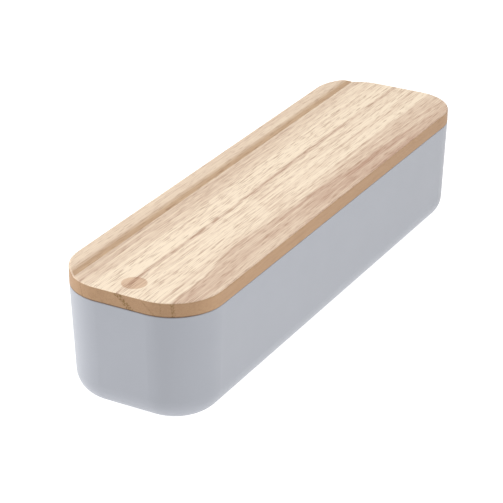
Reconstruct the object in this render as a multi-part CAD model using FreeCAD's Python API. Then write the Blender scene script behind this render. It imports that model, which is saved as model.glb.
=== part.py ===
"""Desk cable tray: a moulded plastic bin under a lift-off lid of edge-glued wood staves.

Millimetres, +Z up. X runs along the tray's length and +Y points to its back, where the
lid has a raised rail. The origin is the middle of the footprint, on the surface that the
tray stands on.
"""
import FreeCAD, Part
import math
import os

# Driving dimensions.
LENGTH = 402.0
WIDTH = 107.0
CORNER_RADIUS = 35.0
BIN_HEIGHT = 78.0
BIN_WALL = 2.4
BIN_TAPER = 2.8            # how far the foot of each wall stands in from its rim
FOOT_RADIUS = 17.0         # outside, where the walls turn into the base
PANEL_THICKNESS = 18.0     # the glued panel that the lid is milled from
LID_THICKNESS = 10.0       # what shows of it above the bin's rim
RAIL_RISE = 2.1            # the back strip stands this much above the rest of the lid
RAIL_FLAT = 8.5            # flat top of the rail, measured in from the back edge
STAVE_JOINTS = (-26.5, 2.5, 23.0)    # glue lines between the staves, along Y

# Small features.
LID_TOP_EASE = 1.0         # rounding of the lid's upper edge
LID_BOTTOM_EASE = 0.4
RAIL_BEND_RADIUS = 12.5    # rounding from the rail's flat top into its slope
RAIL_SLOPE = math.radians(21)
RAIL_FOOT_RADIUS = 1.0     # where the slope meets the rest of the lid
RIM_EASE = 0.5
PLUG_CLEARANCE = 0.8       # between the lid's plug and the bin, at the rim
PLUG_EASE = 1.2
BASE_HOLLOW_DEPTH = 0.8    # leaves a ring for the bin to stand on
BASE_RING_WIDTH = 6.0
NOTCH_WIDTH = 32.0         # cable outlet in the back wall's rim
NOTCH_DEPTH = 17.0
NOTCH_FOOT_RADIUS = 7.0
NOTCH_MOUTH_RADIUS = 4.0

# Worked out from the above.
LID_TOP = BIN_HEIGHT + LID_THICKNESS
RAIL_TOP = LID_TOP + RAIL_RISE
PLUG_DEPTH = PANEL_THICKNESS - LID_THICKNESS - RAIL_RISE
PLUG_INSET = BIN_WALL + PLUG_CLEARANCE
DRAFT = BIN_TAPER / BIN_HEIGHT
UP = FreeCAD.Vector(0, 0, 1)


def outline(inset, z):
    """The tray's rounded outline at height z, moved in by inset all round."""
    half_length = LENGTH / 2 - inset
    half_width = WIDTH / 2 - inset
    radius = CORNER_RADIUS - inset
    straight_x = half_length - radius
    straight_y = half_width - radius
    diagonal = radius / 2 ** 0.5
    edges = []
    for side_x, side_y in ((1, 1), (-1, 1), (-1, -1), (1, -1)):
        centre = FreeCAD.Vector(side_x * straight_x, side_y * straight_y, z)
        on_end = centre + FreeCAD.Vector(side_x * radius, 0, 0)
        middle = centre + FreeCAD.Vector(side_x * diagonal, side_y * diagonal, 0)
        on_side = centre + FreeCAD.Vector(0, side_y * radius, 0)
        if side_x * side_y < 0:
            on_end, on_side = on_side, on_end
        if edges:
            edges.append(Part.LineSegment(corner_end, on_end).toShape())
        else:
            first = on_end
        edges.append(Part.Arc(on_end, middle, on_side).toShape())
        corner_end = on_side
    edges.append(Part.LineSegment(corner_end, first).toShape())
    return Part.Wire(edges)


def slab(inset, low, high):
    """A plate with the tray's outline."""
    return Part.Face(outline(inset, low)).extrude(UP * (high - low))


def edges_at(shape, z):
    """The edges that lie flat at height z."""
    return [e for e in shape.Edges
            if abs(e.BoundBox.ZMin - z) < 1e-6 and abs(e.BoundBox.ZMax - z) < 1e-6]


def tapered_block(inset, low, foot_radius):
    """A block that narrows towards its rounded foot at height low, up to the bin's rim."""
    foot_inset = inset + DRAFT * (BIN_HEIGHT - low)
    block = Part.makeLoft([outline(foot_inset, low), outline(inset, BIN_HEIGHT)], True, True)
    return block.makeFillet(foot_radius, edges_at(block, low))


def notch_cutter():
    """The cable outlet: a notch with a rounded foot and flared mouth, cut along Y."""
    half = NOTCH_WIDTH / 2
    foot = BIN_HEIGHT - NOTCH_DEPTH
    above = BIN_HEIGHT + 1
    inner_y = WIDTH / 2 - 3 * BIN_WALL
    shift = 2 ** -0.5

    def point(x, z):
        return FreeCAD.Vector(x, inner_y, z)

    def half_profile(side):
        mouth = NOTCH_MOUTH_RADIUS
        turn = NOTCH_FOOT_RADIUS
        lip = point(side * (half + mouth), BIN_HEIGHT)
        lip_bend = point(side * (half + mouth * (1 - shift)), BIN_HEIGHT - mouth * (1 - shift))
        wall_top = point(side * half, BIN_HEIGHT - mouth)
        wall_foot = point(side * half, foot + turn)
        foot_bend = point(side * (half - turn * (1 - shift)), foot + turn * (1 - shift))
        foot_end = point(side * (half - turn), foot)
        return [
            Part.LineSegment(point(side * (half + mouth), above), lip).toShape(),
            Part.Arc(lip, lip_bend, wall_top).toShape(),
            Part.LineSegment(wall_top, wall_foot).toShape(),
            Part.Arc(wall_foot, foot_bend, foot_end).toShape(),
        ]

    foot_line = Part.LineSegment(point(NOTCH_FOOT_RADIUS - half, foot),
                                 point(half - NOTCH_FOOT_RADIUS, foot)).toShape()
    mouth_line = Part.LineSegment(point(-half - NOTCH_MOUTH_RADIUS, above),
                                  point(half + NOTCH_MOUTH_RADIUS, above)).toShape()
    edges = half_profile(-1) + [foot_line] + half_profile(1) + [mouth_line]
    wire = Part.Wire(Part.__sortEdges__(edges))
    return Part.Face(wire).extrude(FreeCAD.Vector(0, 4 * BIN_WALL, 0))


def rim_edges(shell):
    """The inner and outer edges of the rim, round the cable outlet as well."""
    floor = BIN_HEIGHT - NOTCH_DEPTH - 0.01
    across = 1.5 * BIN_WALL
    return [e for e in shell.Edges if e.BoundBox.ZMin > floor and
            not (e.Length < across and e.BoundBox.YLength > 0.9 * BIN_WALL and e.BoundBox.XLength < 0.1)]


def make_bin():
    """One moulding of even wall, open at the top, standing on a ring under its base."""
    outside = tapered_block(0, 0, FOOT_RADIUS)
    inside = tapered_block(BIN_WALL, BIN_WALL, FOOT_RADIUS - BIN_WALL)
    hollow_inset = BIN_TAPER + FOOT_RADIUS + BASE_RING_WIDTH
    base_hollow = slab(hollow_inset, -1, BASE_HOLLOW_DEPTH)
    shell = outside.cut(inside).cut(base_hollow).cut(notch_cutter())
    return shell.makeFillet(RIM_EASE, rim_edges(shell))


def arc_about(centre, radius, start, end, to_point):
    """An arc between two angles in a plane that to_point maps to space."""
    ends = []
    for angle in (start, (start + end) / 2, end):
        across = centre[0] + radius * math.cos(angle)
        height = centre[1] + radius * math.sin(angle)
        ends.append(to_point(across, height))
    return Part.Arc(*ends).toShape()


def lid_section():
    """The lid's cross-section above the rim: flat, then a gentle step up to the rail."""
    back = WIDTH / 2
    bend_y = back - RAIL_FLAT
    turned_rise = (RAIL_BEND_RADIUS + RAIL_FOOT_RADIUS) * (1 - math.cos(RAIL_SLOPE))
    turned_run = (RAIL_BEND_RADIUS + RAIL_FOOT_RADIUS) * math.sin(RAIL_SLOPE)
    foot_y = bend_y - turned_run - (RAIL_RISE - turned_rise) / math.tan(RAIL_SLOPE)

    def point(y, z):
        return FreeCAD.Vector(-LENGTH / 2, y, z)

    quarter = math.pi / 2
    bend = arc_about((bend_y, RAIL_TOP - RAIL_BEND_RADIUS), RAIL_BEND_RADIUS,
                     quarter, quarter + RAIL_SLOPE, point)
    foot = arc_about((foot_y, LID_TOP + RAIL_FOOT_RADIUS), RAIL_FOOT_RADIUS,
                     RAIL_SLOPE - quarter, -quarter, point)
    corners = [point(foot_y, LID_TOP), point(-back, LID_TOP), point(-back, BIN_HEIGHT),
               point(back, BIN_HEIGHT), point(back, RAIL_TOP), point(bend_y, RAIL_TOP)]
    edges = [Part.LineSegment(a, b).toShape() for a, b in zip(corners, corners[1:])]
    slope = Part.LineSegment(bend.Vertexes[-1].Point, foot.Vertexes[0].Point).toShape()
    return Part.Face(Part.Wire(edges + [bend, slope, foot]))


def upper_rim(plate):
    """The edges between a lid plate's upper surface and its sides."""
    edges = []
    for face in plate.Faces:
        stands_on_rim = abs(face.BoundBox.ZMin - BIN_HEIGHT) < 1e-6 and face.BoundBox.ZLength > 1
        if stands_on_rim:
            edges += [e for e in face.Edges if e.BoundBox.ZMin > LID_TOP - 1e-6]
    return edges


def make_plate():
    """The lid above the bin's rim, with its edges rounded over."""
    bar = lid_section().extrude(FreeCAD.Vector(LENGTH, 0, 0))
    plate = bar.common(slab(0, BIN_HEIGHT, RAIL_TOP))
    plate = plate.makeFillet(LID_TOP_EASE, upper_rim(plate))
    return plate.makeFillet(LID_BOTTOM_EASE, edges_at(plate, BIN_HEIGHT))


def make_plug():
    """The part of the lid that drops inside the bin's rim."""
    plug = slab(PLUG_INSET, BIN_HEIGHT - PLUG_DEPTH, BIN_HEIGHT + LID_THICKNESS / 2)
    return plug.makeFillet(PLUG_EASE, edges_at(plug, BIN_HEIGHT - PLUG_DEPTH))


def make_lid():
    """The whole lid as milled from its glued panel."""
    return make_plate().fuse(make_plug()).removeSplitter()


def cut_into_staves(lid):
    """The lid's staves from front to back, each running its full length."""
    names = ("lid_stave_front", "lid_stave_mid_front", "lid_stave_mid_back", "lid_stave_back_rail")
    limits = (-WIDTH,) + STAVE_JOINTS + (WIDTH,)
    staves = {}
    for name, low, high in zip(names, limits, limits[1:]):
        corner = FreeCAD.Vector(-LENGTH, low, 0)
        strip = Part.makeBox(2 * LENGTH, high - low, 2 * RAIL_TOP, corner)
        staves[name] = lid.common(strip)
    return staves


def export(name, shape):
    """Write one solid as its own part file."""
    solid = shape.Solids[0]
    if len(shape.Solids) != 1 or not solid.isValid():
        raise ValueError(name + " isn't one sound solid")
    solid.exportStep("parts/" + name + ".step")
    box = solid.optimalBoundingBox(False, False)
    print(name, round(solid.Volume), "mm3, z", round(box.ZMin, 2), "to", round(box.ZMax, 2))


def main():
    os.makedirs("parts", exist_ok=True)
    export("bin", make_bin())
    for name, stave in cut_into_staves(make_lid()).items():
        export(name, stave)


main()
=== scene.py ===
"""Looks for the desk cable tray: a satin plastic bin under a lid of edge-glued wood staves."""
import math

import bpy
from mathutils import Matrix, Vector


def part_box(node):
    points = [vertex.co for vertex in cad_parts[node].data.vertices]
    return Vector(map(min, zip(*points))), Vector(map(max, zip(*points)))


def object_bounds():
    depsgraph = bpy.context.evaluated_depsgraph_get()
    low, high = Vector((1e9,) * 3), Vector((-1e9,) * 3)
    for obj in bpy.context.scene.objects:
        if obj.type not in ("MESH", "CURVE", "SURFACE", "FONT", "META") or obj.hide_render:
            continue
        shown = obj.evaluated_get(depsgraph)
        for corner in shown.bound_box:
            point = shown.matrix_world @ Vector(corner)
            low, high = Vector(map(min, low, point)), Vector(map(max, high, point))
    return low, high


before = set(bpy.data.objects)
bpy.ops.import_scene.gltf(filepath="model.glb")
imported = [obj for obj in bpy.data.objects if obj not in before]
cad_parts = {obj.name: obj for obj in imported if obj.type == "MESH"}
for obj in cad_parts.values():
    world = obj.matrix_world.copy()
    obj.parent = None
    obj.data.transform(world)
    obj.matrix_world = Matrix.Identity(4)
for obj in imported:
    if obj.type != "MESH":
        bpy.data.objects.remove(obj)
cad_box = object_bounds()

MM = 0.001
TO_MM = 1000.0
MIX_COLORS = (6, 7)      # which of a Mix node's inputs take its two colours


# ---- Node tools -------------------------------------------------------------------------

class Graph:
    """A material's node tree, with one short call for each kind of node used here."""

    def __init__(self, name):
        self.material = bpy.data.materials.new(name)
        self.material.use_nodes = True
        self.tree = self.material.node_tree
        self.tree.nodes.clear()

    def feed(self, socket, value):
        """Link another node's output to a socket, or set the socket's own value."""
        if isinstance(value, bpy.types.NodeSocket):
            self.tree.links.new(value, socket)
        else:
            socket.default_value = value

    def node(self, kind, *values, **settings):
        """Add a node, set its options, and feed its inputs in order. None leaves one alone."""
        made = self.tree.nodes.new("ShaderNode" + kind)
        for key, setting in settings.items():
            setattr(made, key, setting)
        for socket, value in zip(made.inputs, values):
            if value is not None:
                self.feed(socket, value)
        return made

    def math(self, operation, *values):
        return self.node("Math", *values, operation=operation).outputs[0]

    def add(self, a, b):
        return self.math("ADD", a, b)

    def subtract(self, a, b):
        return self.math("SUBTRACT", a, b)

    def times(self, a, b):
        return self.math("MULTIPLY", a, b)

    def scaled(self, vector, scale):
        return self.node("VectorMath", vector, scale, operation="MULTIPLY").outputs[0]

    def divided(self, vector, sizes):
        """The vector, counted in cells of these sizes."""
        return self.scaled(vector, [1 / size for size in sizes])

    def noise(self, vector, detail=2.0, roughness=0.5):
        """Fractal noise from 0 to 1, one cell to each unit of vector."""
        made = self.node("TexNoise", vector, noise_dimensions="3D", normalize=True)
        made.inputs["Scale"].default_value = 1.0
        made.inputs["Detail"].default_value = detail
        made.inputs["Roughness"].default_value = roughness
        return made.outputs["Fac"]

    def smooth(self, value, low, high, out_low=0.0, out_high=1.0):
        """A smooth step from out_low to out_high as value goes from low to high."""
        made = self.node("MapRange", value, low, high, out_low, out_high,
                         interpolation_type="SMOOTHSTEP")
        return made.outputs[0]

    def mix(self, factor, a, b, blend="MIX"):
        """Two colours, mixed or blended."""
        made = self.node("Mix", data_type="RGBA", blend_type=blend, clamp_factor=True)
        self.feed(made.inputs["Factor"], factor)
        for index, color in zip(MIX_COLORS, (a, b)):
            self.feed(made.inputs[index], color)
        return made.outputs[2]

    def bump(self, height, distance, normal=None):
        made = self.node("Bump")
        made.inputs["Strength"].default_value = 1.0
        made.inputs["Distance"].default_value = distance
        self.feed(made.inputs["Height"], height)
        if normal is not None:
            self.feed(made.inputs["Normal"], normal)
        return made.outputs["Normal"]

    def surface(self, color, roughness, normal, specular):
        shader = self.node("BsdfPrincipled")
        self.feed(shader.inputs["Base Color"], color)
        self.feed(shader.inputs["Roughness"], roughness)
        self.feed(shader.inputs["Normal"], normal)
        shader.inputs["Specular IOR Level"].default_value = specular
        output = self.node("OutputMaterial")
        self.feed(output.inputs["Surface"], shader.outputs["BSDF"])
        return self.material


def rgb(red, green, blue):
    """A linear colour from sRGB values out of 255."""
    def linear(value):
        value /= 255
        return value / 12.92 if value <= 0.04045 else ((value + 0.055) / 1.055) ** 2.4
    return (linear(red), linear(green), linear(blue), 1.0)


# ---- Wood -------------------------------------------------------------------------------

LID_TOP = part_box("lid_stave_mid_front")[1].z * TO_MM
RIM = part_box("bin")[1].z * TO_MM
LENGTH = (cad_box[1].x - cad_box[0].x) * TO_MM
BURN_INSET = 17.0         # from the lid's near end to the middle of the burn
BURN_CENTRE = (-LENGTH / 2 + BURN_INSET, -0.5, LID_TOP)
BURN_RADIUS = 8.3

# Each stave's figure, in millimetres on the lid's top. drift says how far the growth rings
# move along Y over stretches of X, as (from x, to x, move), and wander how much they waver.
# shade is the wood's depth of colour across the rings, as (y, depth), and lines are the rings
# that show, as (y, half width, depth), both for where the rings are before they drift. deepen
# is how much deeper the far half is than the near half, streaks how strong its long streaks
# are, and lean how far the rings move towards the front for each millimetre down. patch is the
# near edge of a cloudy patch, as its front and back (x, y).
STAVES = {
    "lid_stave_front": dict(
        drift=((-156, -111, 6.0), (-105, 0, -5.5), (0, 201, -14.0)), wander=2.0,
        shade=((-53, 0.44), (-46, 0.70), (-42, 0.58), (-37.5, 0.74), (-35, 0.40), (-33, 0.30), (-27, 0.28),
               (-14, 0.36)),
        lines=((-35.2, 1.6, 0.28), (-28.3, 0.9, 0.22), (-42.5, 0.9, 0.10)),
        deepen=0.10, streaks=0.75, lean=0.08, seed=11.6),
    "lid_stave_mid_front": dict(
        drift=((-60, 20, 2.0),), wander=0.9,
        shade=((-29, 0.26), (-26.5, 0.05), (-24, 0.02), (-21, 0.13), (-17, 0.14), (-11, 0.08), (-5, 0.12),
               (-1, 0.24), (1, 0.24)),
        lines=((1.6, 2.6, 0.48), (-15.2, 1.3, 0.22), (-8.2, 0.8, 0.12), (-29.2, 1.5, 0.38)),
        deepen=0.05, streaks=0.9, lean=1.05, seed=16.2, patch=((-55.0, -29.0), (-34.0, -0.5))),
    "lid_stave_mid_back": dict(
        drift=((-60, 20, 2.0),), wander=1.0,
        shade=((1, 0.22), (5, 0.06), (10, 0.04), (16, 0.12), (19, 0.10), (23, 0.18)),
        lines=((1.6, 2.6, 0.46), (17.0, 1.1, 0.20), (12.5, 0.8, 0.10)),
        deepen=0.05, streaks=1.0, lean=0.5, seed=4.7),
    "lid_stave_back_rail": dict(
        drift=((-130, 0, -8.0), (0, 165, -16.5), (165, 201, -14.0)), wander=1.6,
        shade=((22, 0.30), (29, 0.42), (31, 0.50), (40, 0.42), (42, 0.30), (52, 0.32), (70, 0.38)),
        lines=((30.4, 0.9, 0.24), (40.9, 0.9, 0.16), (52.0, 0.8, 0.10), (67.2, 1.0, 0.20)),
        deepen=-0.01, streaks=0.7, lean=0.3, seed=11.0),
}

# The wood's colours. A depth of 0 is all sapwood, and a depth of 1 is all ring.
SAPWOOD = rgb(251, 233, 208)
RING = rgb(190, 154, 132)
PORE = rgb(152, 114, 86)
END_SPECK = rgb(126, 98, 54)
SIDE_DEPTH = 0.45
PATCH_DEPTH = 0.16

# Tints that the colours are multiplied by. The side tint is painted shade, and the slope's tint is partly
# painted shade and partly the milled face's deeper colour.
MILLED_TONE_AND_SHADE = rgb(226, 212, 196)
SIDE_SHADE_TINT = rgb(210, 189, 165)
EDGE_TINT = rgb(246, 244, 238)
END_TINT = rgb(242, 241, 240)
# painted shade along the seam, under the lid's edge
SEAM_SHADE_TINT = rgb(166, 163, 172)
BURN_TINT = rgb(228, 213, 204)

# Streaks along the grain, as (length, width, detail, roughness, strength).
STREAK_LAYERS = ((260, 2.2, 3, 0.65, 1.1), (50, 0.9, 1, 0.5, 0.9), (10, 0.6, 1, 0.5, 0.65))
SPECK_SIZES = (2, 0.9, 0.9)
GRAIN_RELIEF = 0.05 * MM


def drifted(g, drift):
    """How far the rings have moved along Y."""
    moved = 0.0
    for start, end, move in drift:
        moved = g.add(moved, g.node("MapRange", g.x, start, end, 0.0, move).outputs[0])
    return moved


def shade_across(g, rings, stops):
    """The broad depth of colour across the rings."""
    low, high = stops[0][0], stops[-1][0]
    ramp = g.node("ValToRGB", g.node("MapRange", rings, low, high).outputs[0])
    elements = ramp.color_ramp.elements
    while len(elements) < len(stops):
        elements.new(0.5)
    for element, (place, depth) in zip(elements, stops):
        element.position = (place - low) / (high - low)
        element.color = (depth, depth, depth, 1)
    return ramp.outputs[0]


def ring_lines(g, rings, lines):
    """The darker lines where growth rings start."""
    total = 0.0
    for place, half_width, depth in lines:
        away = g.math("ABSOLUTE", g.subtract(rings, place))
        total = g.add(total, g.smooth(away, half_width, 0.0, 0.0, depth))
    return total


def clouded(g, near_edge):
    """A cloudy patch that starts at a slanting line across the stave and fades away beyond it."""
    (front_x, front_y), (back_x, back_y) = near_edge
    slant = (back_x - front_x) / (back_y - front_y)
    line = g.add(g.times(g.subtract(g.y, front_y), slant), front_x)
    beyond = g.subtract(g.x, line)
    return g.times(g.smooth(beyond, -2.0, 2.5), g.smooth(beyond, 48.0, 6.0))


class WoodGraph(Graph):
    """A wood material's node tree, with the places, directions and faces that its pattern uses."""

    def __init__(self, name, seed):
        super().__init__(name)
        place = self.node("TexCoord").outputs
        self.mm = self.scaled(place["Object"], (TO_MM,) * 3)
        self.x, self.y, self.z = self.node("SeparateXYZ", self.mm).outputs
        offset = (seed * 113, seed * 17, 0)
        self.shifted = self.node("VectorMath", self.mm, offset, operation="ADD").outputs[0]
        self.find_faces(*self.node("SeparateXYZ", place["Normal"]).outputs)

    def find_faces(self, nx, ny, nz):
        """How much each point belongs to the rail, its slope, the sides, the edges and the ends.

        nx, ny and nz say which way the surface faces: nz is 1 where it faces up.
        """
        self.rail = self.smooth(self.z, LID_TOP + 0.1, LID_TOP + 0.8)
        above_flat = self.smooth(self.z, LID_TOP, LID_TOP + 0.1)
        self.slope = self.times(self.smooth(ny, -0.18, -0.36), above_flat)
        self.side = self.smooth(nz, 0.8, 0.3)
        self.edge = self.times(self.smooth(nz, 0.85, 0.5), self.smooth(nz, 0.02, 0.3))
        self.end = self.times(self.smooth(self.math("ABSOLUTE", nx), 0.15, 0.75), self.side)

    def fibre(self, length, width, detail=2.0, roughness=0.5):
        """Noise drawn out along the grain, from -0.5 to 0.5."""
        stretched = self.divided(self.shifted, (length, width, width))
        return self.subtract(self.noise(stretched, detail, roughness), 0.5)


def ring_places(g, drift, wander, lean):
    """Where each point lies across the growth rings, as the Y that its ring starts out at."""
    slow = g.times(g.fibre(length=90, width=30), wander)
    quick = g.times(g.fibre(length=22, width=6), wander * 0.6)
    rings = g.subtract(g.add(g.y, g.add(slow, quick)), drifted(g, drift))
    return g.subtract(rings, g.times(g.subtract(g.z, LID_TOP), lean))


def grain_streaks(g, mottle):
    """Streaks along the grain, from long to short, with the mottle across them."""
    total = 0.0
    for length, width, detail, roughness, strength in STREAK_LAYERS:
        total = g.add(total, g.times(g.fibre(length, width, detail, roughness), strength))
    return g.add(total, g.times(mottle, 0.4))


def pore_marks(g, early, mottle):
    """Short dark pores, which crowd along the ring lines."""
    crowded = g.add(g.times(early, 0.3), g.times(mottle, 0.35))
    marks = g.fibre(length=10, width=0.6, detail=0)
    return g.smooth(g.add(marks, crowded), 0.11, 0.24)


def faded(g, figure):
    """The figure is plain to see on the flat of the lid, and fainter on the rail and the sides."""
    figure = g.times(figure, g.subtract(1.0, g.times(g.side, 0.75)))
    return g.times(figure, g.subtract(1.0, g.times(g.rail, 0.4)))


def grown_color(g, rings, shade, deepen, figure, pores):
    """The wood's own colour: its depth across the rings, then the figure and the pores."""
    depth = g.add(shade_across(g, rings, shade), g.smooth(g.x, -60.0, 60.0, 0.0, deepen))
    depth = g.add(depth, g.times(g.side, g.subtract(SIDE_DEPTH, depth)))
    color = g.mix(g.add(depth, figure), SAPWOOD, RING)
    return g.mix(g.times(pores, g.smooth(g.side, 0.0, 1.0, 0.4, 0.1)), color, PORE)


def tinted(g, color):
    """Tint the slope and the sides darker with painted shade (on the slope partly the milled face's deeper
    colour too), the eased edges a little darker and the ends to the end grain's tone.
    """
    tints = ((g.slope, MILLED_TONE_AND_SHADE), (g.side, SIDE_SHADE_TINT), (g.edge, EDGE_TINT), (g.end, END_TINT))
    for face, tint in tints:
        color = g.mix(face, color, tint, "MULTIPLY")
    return color


def speckled(g, color, rings, lines):
    """Put dark specks on the end grain, thickest along the ring lines."""
    grains = g.noise(g.divided(g.mm, SPECK_SIZES))
    bands = ring_lines(g, rings, [(place, 2 * width, depth) for place, width, depth in lines])
    specks = g.times(g.smooth(grains, 0.44, 0.56), g.smooth(bands, 0.14, 0.32, 0.08, 0.8))
    return g.mix(g.times(g.end, specks), color, END_SPECK)


def shaded_at_seam(g, color):
    """Paint shade on the ends along the seam, where the lid sits on the bin's rim: a painted shadow under
    the lid's edge.
    """
    seam = g.times(g.smooth(g.z, RIM + 1.2, RIM + 0.3), g.smooth(g.z, RIM - 0.1, RIM))
    return g.mix(g.times(seam, g.end), color, SEAM_SHADE_TINT, "MULTIPLY")


def burnt(g, color):
    """Add the plain round burn near the end of the lid's top."""
    away = g.node("VectorMath", g.mm, BURN_CENTRE, operation="DISTANCE").outputs["Value"]
    burn = g.smooth(away, BURN_RADIUS + 0.5, BURN_RADIUS - 0.5)
    return g.mix(burn, color, BURN_TINT, "MULTIPLY")


def wood(name, drift, wander, shade, lines, deepen, streaks, lean, seed, patch=None):
    """Paulownia, solid through: rings, streaks, pores and end grain come from one 3-D pattern."""
    g = WoodGraph(name, seed)
    rings = ring_places(g, drift, wander, lean)
    broken = g.smooth(g.fibre(length=16, width=2.5), -0.2, 0.12, 0.35, 1.2)
    early = g.times(ring_lines(g, rings, lines), broken)
    mottle = g.fibre(length=12, width=2.4)
    pores = g.times(pore_marks(g, early, mottle), streaks)
    figure = g.add(early, g.times(grain_streaks(g, mottle), streaks))
    figure = g.add(figure, g.times(g.fibre(length=200, width=7), 0.7))
    if patch is not None:
        figure = g.add(figure, g.times(clouded(g, patch), PATCH_DEPTH))
    figure = faded(g, figure)

    color = grown_color(g, rings, shade, deepen, figure, pores)
    # painted shade on the slope and the sides
    color = tinted(g, color)
    color = speckled(g, color, rings, lines)
    # painted shade along the seam under the lid
    color = shaded_at_seam(g, color)
    color = burnt(g, color)

    normal = g.bump(g.subtract(figure, pores), GRAIN_RELIEF)
    roughness = g.add(0.58, g.times(figure, 0.2))
    return g.surface(color, roughness, normal, specular=0.3)


# ---- Plastic ----------------------------------------------------------------------------

PLASTIC_DARK = rgb(164, 167, 175)
PLASTIC_PALE = rgb(168, 171, 179)
TEXTURE_SIZES = (0.35, 0.35, 0.35)
WAVE_SIZES = (55, 55, 30)
CLOUD_SIZES = (22, 22, 22)
TEXTURE_RELIEF = 0.008 * MM
WAVE_RELIEF = 0.12 * MM


def bin_plastic():
    """Injection-moulded plastic with a fine spark-eroded texture and faint flow waviness."""
    g = Graph("bin_plastic_satin")
    mm = g.scaled(g.node("TexCoord").outputs["Object"], (TO_MM,) * 3)
    texture = g.noise(g.divided(mm, TEXTURE_SIZES))
    waves = g.noise(g.divided(mm, WAVE_SIZES), detail=1)
    cloud = g.noise(g.divided(mm, CLOUD_SIZES), detail=3)
    color = g.mix(cloud, PLASTIC_DARK, PLASTIC_PALE)
    roughness = g.add(0.34, g.times(texture, 0.12))
    normal = g.bump(waves, WAVE_RELIEF)
    normal = g.bump(texture, TEXTURE_RELIEF, normal)
    return g.surface(color, roughness, normal, specular=0.5)


def dress(node, material):
    """Give a CAD node its finished material."""
    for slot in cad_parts[node].material_slots:
        slot.material = material


dress("bin", bin_plastic())
for stave, figure in STAVES.items():
    dress(stave, wood("wood_" + stave, **figure))


# ---- Floor, light and camera ------------------------------------------------------------

MIDDLE = Vector((0, 0, 0.05))
FLOOR_HALF_WIDTH = 6.0
FLOOR_DROP = 0.0002       # keeps the floor just clear of the tray's base


def make_floor():
    """A plain pale floor, a little luminous so that it stays even under the tray."""
    half = FLOOR_HALF_WIDTH
    mesh = bpy.data.meshes.new("floor")
    corners = [(-half, -half, 0), (half, -half, 0), (half, half, 0), (-half, half, 0)]
    mesh.from_pydata(corners, [], [(0, 1, 2, 3)])
    floor = bpy.data.objects.new("floor", mesh)
    bpy.context.scene.collection.objects.link(floor)
    floor.location.z = cad_box[0].z - FLOOR_DROP
    g = Graph("floor_pale")
    shader = g.node("BsdfPrincipled")
    shader.inputs["Base Color"].default_value = (0.45, 0.45, 0.45, 1)
    shader.inputs["Roughness"].default_value = 0.9
    shader.inputs["Specular IOR Level"].default_value = 0.1
    shader.inputs["Emission Color"].default_value = (1, 1, 1, 1)
    shader.inputs["Emission Strength"].default_value = 0.9
    output = g.node("OutputMaterial")
    g.feed(output.inputs["Surface"], shader.outputs["BSDF"])
    mesh.materials.append(g.material)


def aim(thing, target):
    """Turn a light or camera to look at a point."""
    direction = Vector(target) - thing.location
    thing.rotation_euler = direction.to_track_quat("-Z", "Y").to_euler()


def soft_light(name, azimuth, elevation, distance, size, power):
    """A round soft light that looks at the tray from an azimuth counted from +X towards +Y."""
    light = bpy.data.lights.new(name, "AREA")
    light.shape = "DISK"
    light.size = size
    light.energy = power
    thing = bpy.data.objects.new(name, light)
    azimuth = math.radians(azimuth)
    elevation = math.radians(elevation)
    across = distance * math.cos(elevation)
    thing.location = MIDDLE + Vector((across * math.cos(azimuth), across * math.sin(azimuth),
                                      distance * math.sin(elevation)))
    bpy.context.scene.collection.objects.link(thing)
    aim(thing, MIDDLE)


def make_lights():
    """Even daylight from above, a low light behind on the left, and a small one by the near side."""
    world = bpy.data.worlds.new("studio")
    world.use_nodes = True
    background = world.node_tree.nodes["Background"]
    background.inputs["Color"].default_value = (1, 1, 1, 1)
    background.inputs["Strength"].default_value = 0.3
    bpy.context.scene.world = world
    soft_light("overhead", azimuth=0, elevation=90, distance=2.15, size=1.6, power=31.5)
    soft_light("back_left", azimuth=110, elevation=12, distance=2.2, size=0.8, power=28)
    soft_light("near_side", azimuth=247, elevation=13, distance=0.67, size=0.3, power=0.55)


def make_camera():
    """Look down on the tray's near end from its left front, as through a long lens."""
    heading = math.radians(60.83)
    dip = math.radians(25.797)
    distance = 1.3856
    target = Vector((-0.03149, 0.00108, 0.045))
    level = Vector((math.sin(heading), math.cos(heading), 0))
    forward = level * math.cos(dip) - Vector((0, 0, math.sin(dip)))
    camera = bpy.data.objects.new("camera", bpy.data.cameras.new("camera"))
    camera.data.sensor_width = 36
    camera.data.lens = 143.38
    camera.data.clip_end = 50
    camera.location = target - forward * distance
    bpy.context.scene.collection.objects.link(camera)
    aim(camera, target)
    bpy.context.scene.camera = camera


make_floor()
make_lights()
make_camera()
bpy.context.scene.view_settings.view_transform = "Standard"
